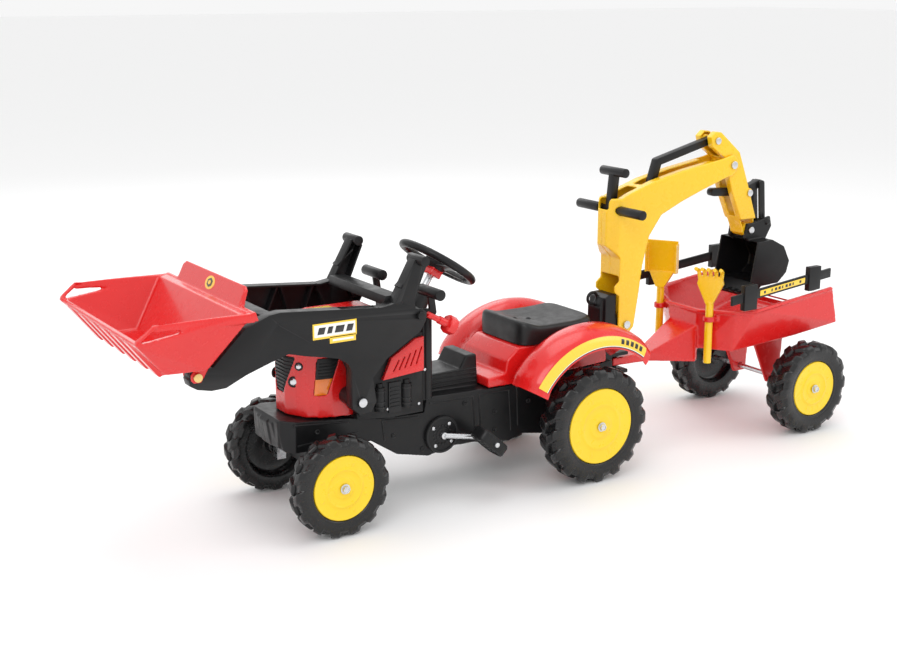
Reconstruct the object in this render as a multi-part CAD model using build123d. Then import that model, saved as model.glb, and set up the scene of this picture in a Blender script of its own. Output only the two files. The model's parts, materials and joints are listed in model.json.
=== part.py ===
from build123d import *
import math
import os

# A child's pedal digger: a front-loader tractor, an excavator behind the seat and a towed trailer.
# Millimetres. Forward is -X, up is +Z, the left side is -Y. The origin is under the middle.

# ---- wheels and axles ----
FRONT_X, FRONT_Z, FRONT_R, FRONT_WIDTH, FRONT_OUT = -462, 100, 100, 50, 176
REAR_X, REAR_Z, REAR_R, REAR_WIDTH, REAR_OUT = 137, 125, 125, 62, 197
TRAILER_X, TRAILER_Z, TRAILER_R, TRAILER_WIDTH, TRAILER_OUT = 770, 108, 108, 58, 197
SMALL_DISC_R, LARGE_DISC_R = 64, 81
AXLE_R, RUNNING = 6, 0.06

# ---- tractor body ----
CHASSIS_Y, CHASSIS_WALL, HOOD_Y, HOOD_WALL, COWL_Y = 78, 4, 78, 3, 95
TUNNEL_Y = 45
SEAT_BODY_Y, FENDER_OUT = 82, 197
ARCH_R = 168

# ---- steering ----
WHEEL_CENTRE = Vector(-147, 0, 475)
WHEEL_TILT = 34
WHEEL_R, RIM_R = 80, 8
COLUMN_R, COLUMN_LENGTH, CRANK_LEVER = 7, 360, 39
KING_Y, TIE_X, TIE_Z = 112, -397, 136
TIE_PIN_Y = 103

# ---- pedals and chain ----
CRANK_X, CRANK_Z, PEDAL_X, PEDAL_Z, PEDAL_Y = -188, 134, -107, 120, 135
PEDAL_LENGTH, PEDAL_WIDTH, PEDAL_THICK, PEDAL_TILT = 78, 54, 27, 42
CRANK_SPROCKET_R, REAR_SPROCKET_R, SPROCKET_Y, SPROCKET_T = 22, 20, 20, 4

# ---- loader ----
LOADER_X, LOADER_Z = -404, 253
ARM_IN, ARM_OUT, ARM_WALL = 115, 140, 4
BUCKET_X, BUCKET_Z = -738, 356
LEVER_X, LEVER_Z = -273, 407
BUCKET_WALL = 4

# ---- excavator ----
SWIVEL_X = 273
BOOM_X, BOOM_Z, BOOM_Y, BOOM_WALL = 328, 288, 35, 4
GRIP_X, GRIP_Z = 302, 546
PULL_X, PULL_Z = 330, 476
STICK_X, STICK_Z, STICK_Y = 631, 624, 28
LINK_X, LINK_Z = 585, 681
SCOOP_X, SCOOP_Z = 700, 466
SCOOP_LEVER_X, SCOOP_LEVER_Z = 692, 554
SCOOP_ARM = Vector(52, 0, 16)

# ---- trailer ----
HITCH_X = 325
TOOL_X, TOOL_Y = 530, 85

os.makedirs("parts", exist_ok=True)


# ---- shapes used throughout ----
def outline(points):
    """A closed face from corner points given as (x, z) or (y, z) pairs."""
    return make_face(Polyline(*points, close=True))


def plate(points, y_low, y_high, inset=0):
    """A side outline in X and Z, solid from y_low to y_high, shrunk all round by inset."""
    face = outline(points)
    if inset:
        face = offset(face, amount=-inset, kind=Kind.INTERSECTION)
    return extrude(Plane.XZ.offset(-y_low) * face, amount=y_low - y_high)


def block(x_low, x_high, y_low, y_high, z_low, z_high):
    """A box between its low and high corners."""
    centre = Pos((x_low + x_high) / 2, (y_low + y_high) / 2, (z_low + z_high) / 2)
    return centre * Box(x_high - x_low, y_high - y_low, z_high - z_low)


def rod(start, end, radius):
    """A round bar from start to end."""
    start = Vector(*start)
    along = Vector(*end) - start
    return Part() + Solid.make_cylinder(radius, along.length, Plane(origin=start, z_dir=along))


def rod_y(x, z, radius, y_low, y_high):
    """A round bar across the vehicle."""
    return rod((x, y_low, z), (x, y_high, z), radius)


def rod_z(x, y, radius, z_low, z_high):
    """An upright round bar."""
    return rod((x, y, z_low), (x, y, z_high), radius)


def bar(start, end, half, y_low, y_high):
    """A flat bar with square ends between two (x, z) points."""
    (x0, z0), (x1, z1) = start, end
    length = math.hypot(x1 - x0, z1 - z0)
    nx, nz = -(z1 - z0) / length * half, (x1 - x0) / length * half
    corners = [(x0 + nx, z0 + nz), (x1 + nx, z1 + nz), (x1 - nx, z1 - nz), (x0 - nx, z0 - nz)]
    return plate(corners, y_low, y_high)


def strap(start, end, half, y_low, y_high):
    """A flat bar with round ends between two (x, z) points."""
    flat = bar(start, end, half, y_low, y_high)
    return flat + rod_y(*start, half, y_low, y_high) + rod_y(*end, half, y_low, y_high)


def hull(points):
    """The convex solid around a set of points."""
    return Part() + ConvexPolyhedron([Vector(*p) for p in points])


def both_y(points):
    """Each point and its mirror on the other side."""
    return [(x, s * y, z) for x, y, z in points for s in (1, -1)]


def mirrored(shape):
    """The same piece on the right-hand side."""
    return mirror(shape, about=Plane.XZ)


def pair(shape):
    """A piece and its mirror in one node."""
    return shape + mirrored(shape)


def turned(section, x, z):
    """A (lateral, radius) outline turned about a cross axle at (x, z)."""
    return Pos(x, 0, z) * revolve(Plane.YZ * outline(section), Axis.Y, 360)


# ---- wheels, left-hand side ----
def tyre(x, z, radius, width, out, disc_r):
    """A hollow moulded wheel: tread, side walls and an inner web with its hub."""
    s = [
        (7, disc_r + 1), (1, disc_r + 5), (0, radius * 0.84), (5, radius * 0.965), (12, radius),
        (width - 12, radius), (width - 5, radius * 0.965), (width, radius * 0.84),
        (width - 2, disc_r + 5), (width * 0.6, disc_r - 2), (width * 0.6, 18), (width, 16),
        (width, AXLE_R + RUNNING), (width * 0.45, AXLE_R + RUNNING), (width * 0.45, disc_r - 8),
        (12, disc_r - 2), (12, disc_r + 1),
    ]
    return turned([(lateral - out, r) for lateral, r in s], x, z)


def disc(x, z, width, out, disc_r):
    """The coloured wheel disc, slightly dished, with its hub boss."""
    s = [
        (4, disc_r + 0.6), (2.5, disc_r * 0.9), (2.5, disc_r * 0.62), (5, disc_r * 0.56), (3, 20),
        (2, AXLE_R + RUNNING), (width * 0.45 - 0.3, AXLE_R + RUNNING), (width * 0.45 - 0.3, 13),
        (8, 14), (8, disc_r * 0.56), (7, disc_r + 0.6),
    ]
    return turned([(lateral - out, r) for lateral, r in s], x, z)


def nut(x, z, out):
    """A washer and a hexagon nut on an axle end."""
    washer = rod_y(x, z, 10, -out - 0.5, -out + 1.8)
    face = Plane.XZ.offset(out + 0.5) * (Pos(x, z) * RegularPolygon(7.5, 6))
    return washer + extrude(face, amount=6) - rod_y(x, z, AXLE_R - 1, -out - 7, -out + 3)


# ---- tractor ----
CHASSIS = [
    (-530, 152), (-540, 185), (-540, 217), (-391, 203), (-330, 192), (-228, 186), (-222, 217),
    (-20, 211), (40, 215), (258, 225), (258, 140), (190, 90), (80, 88), (17, 99), (-18, 89),
    (-111, 102), (-162, 103), (-218, 92), (-291, 109), (-351, 148),
]
TUNNEL = [(-221, 212), (-221, 288), (-212, 286), (-195, 253), (-120, 254), (-104, 281), (-80, 281),
          (-76, 212)]
STEER_AXIS = Vector(math.sin(math.radians(WHEEL_TILT)), 0, math.cos(math.radians(WHEEL_TILT)))
STEER_FORWARD = Vector(-STEER_AXIS.Z, 0, STEER_AXIS.X)


def on_column(distance, radius=0.0):
    """A point down the steering axis from the wheel's centre, and forward of it by radius."""
    return WHEEL_CENTRE - STEER_AXIS * distance + STEER_FORWARD * radius


def column_bore(radius):
    """Room for the steering column through what it passes."""
    return rod(on_column(-20), on_column(COLUMN_LENGTH), radius)


def nose_plan(inset):
    """The tractor's plan with its front corners taken off, inset all round."""
    front, half = -545 + inset, CHASSIS_Y + 1 - inset
    plan = [(front, -55), (-514, -half), (300, -half), (300, half), (-514, half), (front, 55)]
    return extrude(Plane.XY.offset(60) * outline(plan), amount=200)


def bumper():
    """The ribbed front weights, three each side of the middle."""
    core = plate([(-541, 160), (-543, 213), (-530, 214), (-525, 153)], -54, 54)
    for side in (-1, 1):
        for number in range(3):
            front = -549 + 3 * number
            high = 1 + 18 * number
            low = 1 + 22 * number
            upper = [(x, side * y, z) for x, z in ((front, 206), (-532, 216)) for y in (high, high + 16)]
            lower = [(x, side * y, z) for x, z in ((front + 7, 158), (-526, 150)) for y in (low, low + 19)]
            core += hull(upper + lower)
    return core


def chassis_body():
    body = plate(CHASSIS, -CHASSIS_Y, CHASSIS_Y) & nose_plan(0)
    body += plate(TUNNEL, -TUNNEL_Y, TUNNEL_Y)
    body += bumper()
    inside = plate(CHASSIS, -CHASSIS_Y + CHASSIS_WALL, CHASSIS_Y - CHASSIS_WALL, CHASSIS_WALL)
    body -= inside & nose_plan(CHASSIS_WALL + 1)
    body -= plate(TUNNEL, -TUNNEL_Y + CHASSIS_WALL, TUNNEL_Y - CHASSIS_WALL, CHASSIS_WALL)
    body -= block(-520, -300, -60, 60, 120, 160)
    body -= column_bore(COLUMN_R + 4.5)
    body -= rod_y(CRANK_X, CRANK_Z, 9, -100, 100)
    body -= rod_y(REAR_X, REAR_Z, AXLE_R + RUNNING, -100, 100)
    return body


def hood_solid(inset):
    """The bonnet's outer shape, made smaller all round by inset."""
    side = [(-243, 190), (-502, 190), (-509, 218), (-508, 326), (-496, 370), (-470, 396), (-430, 407),
            (-312, 407), (-243, 372)]
    front = [(-78, 180), (-78, 345), (-66, 385), (-40, 409), (40, 409), (66, 385), (78, 345), (78, 180)]
    top = [(-509, -20), (-509, 20), (-497, 45), (-482, 62), (-462, 73), (-435, 78), (-200, 78), (-200, -78),
           (-435, -78), (-462, -73), (-482, -62), (-497, -45)]
    front_face = outline(front)
    top_face = outline(top)
    if inset:
        front_face = offset(front_face, amount=-inset, kind=Kind.INTERSECTION)
        top_face = offset(top_face, amount=-inset, kind=Kind.INTERSECTION)
    shape = plate(side, -HOOD_Y + inset, HOOD_Y - inset, inset)
    shape &= extrude(Plane.YZ.offset(-600) * front_face, amount=400)
    return shape & extrude(Plane.XY.offset(100) * top_face, amount=400)


def hood():
    shell = hood_solid(0) - hood_solid(HOOD_WALL)
    under = [(-560, 100), (-560, 217.3), (-540, 217.3), (-391, 209), (-200, 209), (-200, 100)]
    shell -= plate(under, -90, 90)
    shell -= block(-260, -200, -90, 90, 100, 500)
    return shell - pair(lamp_recess()) - grille_recess()


def lamp_recess():
    """The recess in the bonnet's side for a louvre and the lamp below it."""
    corners = ((-463, 331), (-417, 331), (-469, 258), (-445, 258))
    return hull([(x, y, z) for x, z in corners for y in (-80, -60)])


def grille_recess():
    """The tapered recess in the nose."""
    corners = ((-44, 333), (44, 333), (-13, 258), (13, 258))
    return hull([(x, y, z) for x in (-520, -486) for y, z in corners])


def lamp_unit(z_low, z_high):
    """The part of both side lamp units between two heights."""
    lamp = lamp_recess() & hood_solid(1) & block(-600, -300, -90, -66, z_low, z_high)
    return pair(lamp)


def grille_strips():
    return grille_recess() & hood_solid(1.5) & block(-520, -494, -60, 60, 200, 400)


def badge_studs():
    """Plain round studs either side of the grille."""
    stud = rod((-480, -51, 316), (-496, -51, 316), 5.5)
    stud += rod((-480, -41, 284), (-503, -41, 284), 8)
    return pair(stud - hood_solid(0))


def cowl_left():
    panel = plate([(-391, 204), (-391, 360), (-241, 360), (-241, 196), (-320, 196)], -COWL_Y, -HOOD_Y - 0.2)
    panel += rod_y(LOADER_X, LOADER_Z, 17, -114.6, -HOOD_Y - 0.2)
    panel += plate([(-405, 236), (-405, 270), (-385, 290), (-385, 210)], -100, -HOOD_Y - 0.2)
    for x in (-341, -280):
        panel += rod_z(x, -COWL_Y, 11, 214, 262)
        panel += rod_z(x, -COWL_Y, 7, 262, 270)
    panel += block(-321, -293, -99, -COWL_Y, 206, 268)
    return panel - rod_y(LOADER_X, LOADER_Z, 6, -120, -60)


def firewall():
    wall = block(-240, -222, -COWL_Y, COWL_Y, 219, 389)
    for side in (-1, 1):
        wall += rod_z(-228, side * 92, 9, 221, 389)
    wall -= column_bore(COLUMN_R + 3)
    wall -= block(-245, -221, -TUNNEL_Y - 0.3, TUNNEL_Y + 0.3, 210, 289)
    wall -= plate(CHASSIS, -CHASSIS_Y, CHASSIS_Y)
    return wall


def vent_panel_left():
    face = [(-336, 277), (-316, 319), (-262, 350), (-243, 353), (-243, 284)]
    panel = plate(face, -103, -COWL_Y - 0.05)
    for number in range(5):
        x = -312 + 13 * number
        slot = strap((x, 292 + 2 * number), (x + 12, 312 + 5 * number), 1.6, -110, -90)
        panel -= slot
    return panel - rod_z(-228, -92, 9.1, 200, 400)


def steering_boot():
    """The tapered shroud that carries the column's upper end."""
    length = 72
    base = Plane(origin=on_column(58 + length), z_dir=STEER_AXIS)
    cone = Part() + Solid.make_cone(32, 19, length, base)
    cone -= block(-240.1, -221.9, -COWL_Y, COWL_Y, 219, 389)
    cone -= block(-300, -240, -100, 100, 100, 500)
    return cone - column_bore(COLUMN_R + RUNNING)


def crank_covers():
    cover = rod_y(CRANK_X, CRANK_Z, 39, -84, -CHASSIS_Y)
    cover += rod_y(CRANK_X, CRANK_Z, 15, -86, -84)
    return pair(cover - rod_y(CRANK_X, CRANK_Z, 7 + RUNNING, -100, -60))


def drive_chain():
    """The chain's closed loop round both sprockets."""
    def loop(extra):
        circles = Pos(CRANK_X, CRANK_Z) * Circle(CRANK_SPROCKET_R + extra)
        circles += Pos(REAR_X, REAR_Z) * Circle(REAR_SPROCKET_R + extra)
        return extrude(Plane.XZ.offset(-SPROCKET_Y) * make_hull(circles.edges()), amount=-SPROCKET_T)
    return loop(2.8) - loop(0.3)


def sprocket(x, z, radius, teeth):
    wheel = rod_y(x, z, radius - 3, SPROCKET_Y, SPROCKET_Y + SPROCKET_T)
    for number in range(teeth):
        angle = 2 * math.pi * number / teeth
        reach = radius - 3.2
        tip = Pos(x + reach * math.cos(angle), SPROCKET_Y + SPROCKET_T / 2, z + reach * math.sin(angle))
        wheel += tip * (Rot(0, -math.degrees(angle), 0) * Box(5, SPROCKET_T, 3))
    return wheel


def fender_section(wall):
    """Half of the wing's section, as (lateral, radius) pairs about the rear axle."""
    outer = [(-78, 162), (-91, 170), (-104, 197), (-130, 213), (-165, 209), (-186, 200), (-FENDER_OUT, 186),
             (-FENDER_OUT, ARCH_R)]
    inner = [(-FENDER_OUT + wall, ARCH_R), (-FENDER_OUT + wall, 185), (-184, 197), (-164, 209 - wall),
             (-131, 213 - wall), (-106, 195), (-93.5, 168), (-78, 158)]
    return outer + inner


def fender_unit():
    """The red rear body: both wings and the seat's base between them."""
    wing = revolve(Plane.YZ * outline(fender_section(3)), Axis.Y, 360)
    keep = 220
    start, end = math.radians(47), math.radians(149)
    sector = [(0, 0)]
    for step in range(9):
        angle = start + (end - start) * step / 8
        sector.append((1.2 * keep * math.cos(angle), 1.2 * keep * math.sin(angle)))
    wing &= plate(sector, -keep, 0)
    wing = Pos(REAR_X, 0, REAR_Z) * wing
    base = [(-74, 214), (-74, 236), (-31, 242), (-27, 266), (0, 291), (228, 292.5), (236, 284),
            (237, 214)]
    body = plate(base, -SEAT_BODY_Y, SEAT_BODY_Y)
    unit = body + wing + mirrored(wing)
    unit -= plate(base, -SEAT_BODY_Y + 3, SEAT_BODY_Y - 3, 3)
    under = [(-79, 200), (-79, 219), (-20, 213), (40, 216), (258.2, 226), (264, 226), (264, 200)]
    unit -= plate(under, -90, 90)
    unit -= block(237.5, 270, -72, 72, 200, 330)
    unit -= block(-90, -75.8, -TUNNEL_Y - 0.3, TUNNEL_Y + 0.3, 200, 290)
    return unit


def seat():
    shape = plate([(12, 296), (8, 342), (60, 333), (130, 331), (188, 336), (200, 326), (200, 296)], -88, 88)
    front = [(-88, 290), (-88, 325), (-70, 345), (70, 345), (88, 325), (88, 290)]
    shape &= extrude(Plane.YZ * outline(front), amount=220)
    shape -= block(16, 194, -82, 82, 294, 316)
    shape += block(30, 180, -60, 60, 293.2, 320)
    for x in (48, 84):
        shape -= rod_z(x, 0, 4, 310, 350)
    return shape


def front_axle_beam():
    beam = block(-474, -450, -91, 91, 108, 150)
    beam += block(-472, -452, -120, 120, 126, 150)
    beam -= block(-470, -454, -90, 90, 100, 120)
    for side in (-1, 1):
        beam -= rod_z(FRONT_X, side * KING_Y, AXLE_R + RUNNING, 100, 160)
    return beam


def hitch_post():
    """The rear upright: it carries the excavator's swivel above and the trailer pin below."""
    post = block(258.2, 291, -34, 34, 172, 284)
    post += block(288, 345, -25, 25, 172, 180)
    post += block(288, 345, -25, 25, 214, 222)
    post += rod_z(HITCH_X, 0, AXLE_R, 178, 216)
    return post - rod_z(SWIVEL_X, 0, 8 + RUNNING, 240, 300)


def loader_bolts():
    bolt = rod_y(LOADER_X, LOADER_Z, 6, -140.5, -82)
    return pair(bolt + rod_y(LOADER_X, LOADER_Z, 9, -146, -140.5))


# ---- steering ----
def steering_column():
    shaft = rod(on_column(10), on_column(COLUMN_LENGTH - 10), COLUMN_R)
    foot = on_column(COLUMN_LENGTH - 10)
    lever = on_column(COLUMN_LENGTH - 10, -CRANK_LEVER)
    shaft += rod(foot + STEER_AXIS * 6, lever + STEER_AXIS * 4, 4)
    return shaft + rod(lever + STEER_AXIS * 4, lever - STEER_AXIS * 44, 3.5)


def steering_wheel():
    face = Plane(origin=WHEEL_CENTRE, z_dir=STEER_AXIS, x_dir=(0, 1, 0))
    rim = face.location * Torus(WHEEL_R, RIM_R)
    hub = face.location * (Pos(0, 0, -6) * Cylinder(26, 20))
    spokes = rim + hub
    for angle in (0, 180, 270):
        spokes += face.location * (Rot(0, 0, angle) * (Pos(48, 0, -4) * Box(60, 20, 7)))
    bore = face.location * (Pos(0, 0, 3) * Cylinder(16.3, 12))
    return spokes - bore - column_bore(COLUMN_R)


def horn_button():
    face = Plane(origin=WHEEL_CENTRE, z_dir=STEER_AXIS, x_dir=(0, 1, 0))
    return face.location * (Pos(0, 0, 5) * Cylinder(16, 8))


def stub_axle_left():
    """A steered knuckle: upright king pin, stub axle and steering arm."""
    shape = block(-472, -452, -121, -102, 78, 125.5)
    shape += rod_z(FRONT_X, -KING_Y, AXLE_R, 120, 151)
    shape += rod_z(FRONT_X, -KING_Y, 9, 150.6, 155)
    shape += rod_y(FRONT_X, FRONT_Z, AXLE_R, -FRONT_OUT - 5, -118)
    arm_plan = ((-470, -104), (-470, -118), (-391, -97), (-391, -109))
    arm = hull([(x, y, z) for z in (116, 122) for x, y in arm_plan])
    shape += nut(FRONT_X, FRONT_Z, FRONT_OUT)
    return shape + arm + rod_z(TIE_X, -TIE_PIN_Y, 3, 121, 144)


def tie_rod():
    shape = rod_y(TIE_X, TIE_Z, 4, -94, 94)
    shape += block(-401, -314, -13, 13, 133, 139)
    shape -= block(-349, -320, -6.4, 6.4, 130, 142)
    for side in (-1, 1):
        centre = side * TIE_PIN_Y
        shape += block(-414, -384, centre - 10, centre + 10, 133, 139)
        shape -= block(-410, -388.5, centre - 4.6, centre + 4.6, 130, 142)
    return shape


# ---- pedals ----
def crankshaft():
    shaft = rod_y(CRANK_X, CRANK_Z, 7, -94, 94)
    for side, x, z in ((-1, PEDAL_X, PEDAL_Z), (1, 2 * CRANK_X - PEDAL_X, 2 * CRANK_Z - PEDAL_Z)):
        shaft += rod((CRANK_X, side * 92, CRANK_Z), (x, side * 101, z), 5.5)
        shaft += rod((x, side * 98, z), (x, side * 166, z), 5)
    return shaft + sprocket(CRANK_X, CRANK_Z, CRANK_SPROCKET_R, 12)


def rear_axle():
    """The driven axle with its sprocket and end nuts."""
    shaft = rod_y(REAR_X, REAR_Z, AXLE_R, -REAR_OUT - 5, REAR_OUT + 5)
    return shaft + sprocket(REAR_X, REAR_Z, REAR_SPROCKET_R, 11) + pair(nut(REAR_X, REAR_Z, REAR_OUT))


def pedal(side):
    """A block pedal, rounded at its ends, that swings on its pin."""
    sign = -1 if side == "left" else 1
    x = PEDAL_X if side == "left" else 2 * CRANK_X - PEDAL_X
    z = PEDAL_Z if side == "left" else 2 * CRANK_Z - PEDAL_Z
    body = Rot(0, PEDAL_TILT, 0) * Box(PEDAL_LENGTH, PEDAL_WIDTH, PEDAL_THICK)
    return Pos(x, sign * PEDAL_Y, z) * body - rod_y(x, z, 5 + RUNNING, -200, 200)


# ---- front loader ----
ARM = [
    (-751, 350), (-738, 368), (-704, 366), (-640, 428), (-591, 447), (-569, 450), (-356, 433), (-330, 437),
    (-284, 517), (-268, 517), (-258, 503), (-286, 440), (-283, 422), (-258, 412), (-260, 396), (-272, 376),
    (-348, 331), (-379, 297), (-372, 250), (-383, 231), (-408, 229), (-424, 243), (-424, 316), (-432, 333),
    (-451, 346), (-472, 351), (-520, 361), (-555, 370), (-595, 358), (-640, 343), (-680, 325), (-708, 324),
    (-735, 330), (-748, 338),
]


def loader_arm_left():
    arm = plate(ARM, -ARM_OUT, -ARM_IN)
    arm -= plate(ARM, -ARM_OUT + ARM_WALL, -ARM_IN + 1, ARM_WALL)
    ribs = [
        ((-700, 334), (-668, 392)), ((-655, 346), (-622, 430)), ((-612, 434), (-578, 374)),
        ((-572, 374), (-533, 444)), ((-527, 444), (-492, 362)), ((-488, 360), (-452, 440)),
        ((-446, 440), (-418, 344)), ((-410, 340), (-372, 434)), ((-366, 434), (-330, 352)),
        ((-420, 306), (-384, 276)), ((-316, 466), (-280, 496)),
    ]
    for start, end in ribs:
        arm += bar(start, end, 1.6, -ARM_OUT + 2, -ARM_IN - 1)
    bosses = ((LOADER_X, LOADER_Z, 15), (BUCKET_X, BUCKET_Z, 10.5), (LEVER_X, LEVER_Z, 13))
    for x, z, radius in bosses:
        arm += rod_y(x, z, radius, -ARM_OUT, -ARM_IN)
    arm += rod_y(-272, 515, 10, -158, -104)
    for x, z, radius in ((LOADER_X, LOADER_Z, 6), (BUCKET_X, BUCKET_Z, 5), (LEVER_X, LEVER_Z, 5)):
        arm -= rod_y(x, z, radius + RUNNING, -170, -100)
    for x, z in ((-575, 428), (-314, 437)):
        arm -= rod_y(x, z, 3, -ARM_OUT - 1, -ARM_OUT + ARM_WALL)
    return arm


def loader_beams():
    """The two cross beams that tie the arms together."""
    half = ARM_IN - 0.05
    front = block(-597, -571, -half, half, 426, 444)
    rear_section = ((-340, 431), (-336, 448), (-300, 431), (-304, 448))
    rear = hull([(x, y, z) for x, z in rear_section for y in (-half, half)])
    for number in range(-3, 4):
        rear -= block(-330, -310, number * 30 - 10, number * 30 + 10, 425, 443)
        front -= block(-592, -576, number * 30 - 10, number * 30 + 10, 420, 440)
    return front + rear


BUCKET_LIP = (-868, 444)
BUCKET_LOW = (-804, 374)
BUCKET_HEEL = (-727, 372)
BUCKET_BACK = (-649, 472)
BUCKET_WIDTHS = (210, 168, 172, 206)


def bucket_points(shrink):
    ends = (BUCKET_LIP, BUCKET_LOW, BUCKET_HEEL, BUCKET_BACK)
    moves = ((-2, 6), (2, 1), (-1, 1), (-1, 6)) if shrink else ((0, 0),) * 4
    points = []
    for (x, z), half, (dx, dz) in zip(ends, BUCKET_WIDTHS, moves):
        points += both_y([(x + shrink * dx, half - shrink, z + shrink * dz)])
    return points


def loader_bucket():
    scoop = hull(bucket_points(0)) - hull(bucket_points(BUCKET_WALL))
    lip_side = ((-866, 443), (-865, 450), (-835, 475), (-829, 470))
    rim_front = hull([(x, y, z) for x, z in lip_side for y in (-209.5, -197)])
    rim_side = ((-835, 475), (-835, 461), (-649, 472), (-649, 455))
    rim = hull([(x, y, z) for x, z in rim_side for y in (-206, -196)])
    scoop += pair(rim + rim_front)
    back = [(-649, 456), (-652, 474), (-636, 508), (-631, 505), (-642, 470), (-644, 455)]
    crest = [(-150, 440), (-146, 500), (-118, 520), (118, 520), (146, 500), (150, 440)]
    scoop += plate(back, -150, 150) & extrude(Plane.YZ.offset(-700) * outline(crest), amount=100)
    scoop += plate([(-645, 456), (-652, 474), (-646, 474), (-640, 456)], -206, 206)
    for number in range(6):
        y = -150 + 60 * number
        scoop += hull([(x, y0, z) for x, z in ((-860, 441), (-798, 376), (-812, 370), (-866, 438))
                       for y0 in (y - 14, y + 14)])
    for y in (108, 144.5):
        ear_side = [(-750, 352), (-744, 344), (-730, 344), (-700, 392), (-690, 420), (-727, 382)]
        ear = plate(ear_side, y, y + 5) + rod_y(BUCKET_X, BUCKET_Z, 12, y, y + 5)
        scoop += pair(ear)
    scoop -= hull([(x, y, z) for x, y, z in bucket_points(BUCKET_WALL)])
    pin_hole = rod_y(BUCKET_X, BUCKET_Z, 5, -160, 160)
    return scoop - pin_hole


def bucket_pins():
    pin = rod_y(BUCKET_X, BUCKET_Z, 5, -152, -106)
    return pair(pin + rod_y(BUCKET_X, BUCKET_Z, 8, -156, -149.6))


def bucket_lever_left():
    """One of the two T-handled levers that tip the bucket."""
    lever = strap((LEVER_X, LEVER_Z), (-226, 402), 7, -113, -106)
    lever += strap((-226, 402), (-232, 443), 7, -113, -106)
    lever += rod_y(-232, 443, 11, -150, -77)
    lever += rod_y(LEVER_X, LEVER_Z, 5, -142, -107)
    lever += rod_y(LEVER_X, LEVER_Z, 8, -147, -140.4)
    return lever


def lock_knob_left():
    """A red screw knob on the arm's rear end."""
    knob = rod((-250, -128, 404), (-222, -128, 389), 6)
    knob += rod((-224, -128, 390), (-204, -128, 379), 8)
    face = Plane(origin=(-206, -128, 380), z_dir=(28, 0, -15))
    return knob + extrude(face * RegularPolygon(19, 8), amount=18)


# ---- excavator ----
BOOM = [
    (306, 268), (306, 354), (293, 364), (293, 378), (306, 388), (306, 440), (279, 468), (279, 560),
    (288, 572), (308, 572), (331, 582), (399, 604), (483, 622), (597, 640), (631, 648), (655, 624),
    (631, 600), (619, 598), (545, 575), (482, 553), (421, 527), (387, 482), (370, 418), (362, 356),
    (350, 280), (338, 268),
]


def boom_corner(back):
    """The wedge that takes the corners off the boom's front, moved back by an amount."""
    plan = [(260, 14), (278 + back, 14), (306 + back, 40), (260, 40)]
    wedge = extrude(Plane.XY.offset(404) * outline(plan), amount=176)
    return pair(mirrored(wedge))


def boom_shell(sign):
    """One half of the boom, hollow, parted down the middle."""
    low, high = (-BOOM_Y, 0) if sign < 0 else (0, BOOM_Y)
    shell = plate(BOOM, low, high) - boom_corner(0)
    inner = (-BOOM_Y + BOOM_WALL, 1) if sign < 0 else (-1, BOOM_Y - BOOM_WALL)
    shell -= plate(BOOM, *inner, BOOM_WALL) - boom_corner(6)
    shell -= block(235, 345, -30.6, 30.6, 250, 398)
    shell -= block(572, 700, -STICK_Y - 1.5, STICK_Y + 1.5, 560, 700)
    shell -= block(236, 362, -17, 17, 548, 650)
    shell -= block(375, 580, -13, 13, 585, 700)
    for x, z, radius in ((BOOM_X, BOOM_Z, 6), (STICK_X, STICK_Z, 6), (GRIP_X, GRIP_Z, 8)):
        shell -= rod_y(x, z, radius, -60, 60)
    return shell


def boom_bolts():
    bolts = Part()
    for x, z in ((BOOM_X, BOOM_Z), (STICK_X, STICK_Z)):
        bolts += rod_y(x, z, 6, -BOOM_Y - 1, BOOM_Y + 1)
        bolts += pair(rod_y(x, z, 9, -BOOM_Y - 5, -BOOM_Y))
    return bolts


def grip_bar():
    return rod_y(GRIP_X, GRIP_Z, 8, -111, 111) + pair(rod_y(GRIP_X, GRIP_Z, 10.5, -111, -BOOM_Y - 0.2))


FOOT = [(262, 285), (262, 330), (271, 352), (284, 359), (303, 359), (303, 304), (328, 304), (328, 272),
        (302, 272), (302, 285)]


def swivel_bracket():
    """The swivelling foot between the hitch post and the boom."""
    foot = plate(FOOT, -29, 29) + rod_y(BOOM_X, BOOM_Z, 16, -29, 29)
    foot -= block(250, 272, -34, -22, 280, 370)
    foot -= block(250, 272, 22, 34, 280, 370)
    foot += rod_z(SWIVEL_X, 0, 8, 245, 286)
    foot += rod_z(SWIVEL_X, 0, 20, 284.5, 290)
    return foot - rod_y(BOOM_X, BOOM_Z, 6 + RUNNING, -60, 60)


def lock_pin():
    """The pull loop on the swivel's locking pin."""
    ring = Pos(258, 0, 350) * (Rot(90, 0, 0) * Torus(13, 3.5))
    ring += rod((268, 0, 343), (280, 0, 338), 3.5)
    return ring - plate(FOOT, -29.05, 29.05)


def t_lever():
    lever = strap((GRIP_X, GRIP_Z), (310, 622), 9, -8, 8)
    lever += rod_y(310, 628, 10, -40, 40)
    lever += strap((GRIP_X, GRIP_Z), (PULL_X, PULL_Z), 8, -8, -3)
    lever += rod_y(PULL_X, PULL_Z, 4, -8, 12)
    return lever - rod_y(GRIP_X, GRIP_Z, 8 + RUNNING, -20, 20)


def stick_link():
    """The long link that joins the T lever to the head of the stick."""
    link = strap((LINK_X, LINK_Z), (430, 642), 8, -9, 9)
    link += strap((430, 642), (414, 592), 8, -9, 9)
    link += strap((414, 592), (PULL_X, PULL_Z), 5, 3, 8)
    link += rod_y(PULL_X, PULL_Z, 12.5, 3, 8)
    link -= rod_y(PULL_X, PULL_Z, 8.5, 0, 12)
    return link - rod_y(LINK_X, LINK_Z, 5 + RUNNING, -20, 20)


STICK = [
    (572, 668), (566, 690), (580, 702), (596, 700), (656, 651), (684, 582), (718, 490), (716, 466),
    (700, 449), (684, 458), (678, 476), (640, 556), (628, 590), (622, 632),
]


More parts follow.
